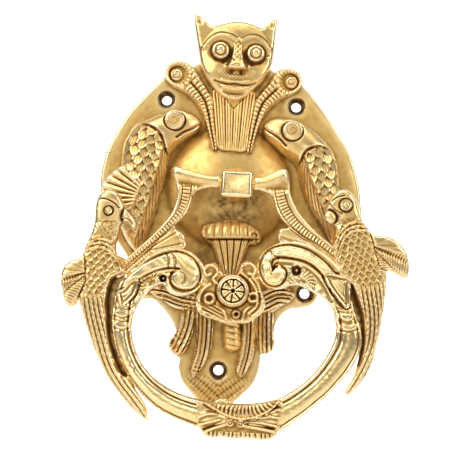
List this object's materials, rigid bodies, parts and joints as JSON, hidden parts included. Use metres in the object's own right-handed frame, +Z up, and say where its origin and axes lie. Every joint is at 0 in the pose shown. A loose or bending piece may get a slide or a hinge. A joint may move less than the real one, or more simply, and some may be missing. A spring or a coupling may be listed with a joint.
{
  "type": "door knocker",
  "caption": "Cast brass door knocker: egg-shaped plate with a horned mask, fish, scrolls and leaves, and a hinged ring with parrots.",
  "frame": {"origin": "midway between the two upper screw holes, on the back face of the plate", "axes": "+Z up along the door, +X to the right as seen from the front, +Y into the door, so the front faces -Y"},
  "size_m": [0.1675, 0.0298, 0.2084],
  "materials": {
    "plate_brass": "cast, matt in the recesses",
    "relief_brass": "cast, brushed high spots",
    "polished_brass": "hand polished"
  },
  "bodies": {
    "plate": {"backplate": "plate_brass", "mask": "relief_brass", "beard_fan": "plate_brass", "collar_scroll_left": "relief_brass", "collar_scroll_right": "relief_brass", "fish_left": "relief_brass", "fish_right": "relief_brass", "torch_cup": "plate_brass", "torch_handle": "plate_brass", "tail_leaf_outer_left": "relief_brass", "tail_leaf_inner_left": "relief_brass", "tail_leaf_inner_right": "relief_brass", "tail_leaf_outer_right": "relief_brass", "ear_leaf_left": "relief_brass", "ear_leaf_right": "relief_brass", "hinge_lug": "polished_brass", "lug_washer": "plate_brass"},
    "knocker": {"hinge_pin": "polished_brass", "arm_left": "relief_brass", "arm_right": "relief_brass", "ring": "polished_brass", "parrot_left": "relief_brass", "parrot_right": "relief_brass", "rosette_mount": "relief_brass", "rosette_flower": "polished_brass", "clapper_leaf": "relief_brass", "striker_boss": "polished_brass"}
  },
  "joints": [
    {"name": "knocker_swing", "type": "hinge", "parent": "plate", "child": "knocker", "pos_m": [0.0046, -0.022, -0.0432], "axis": [-1, 0, 0], "range_deg": [0, 150]}
  ]
}
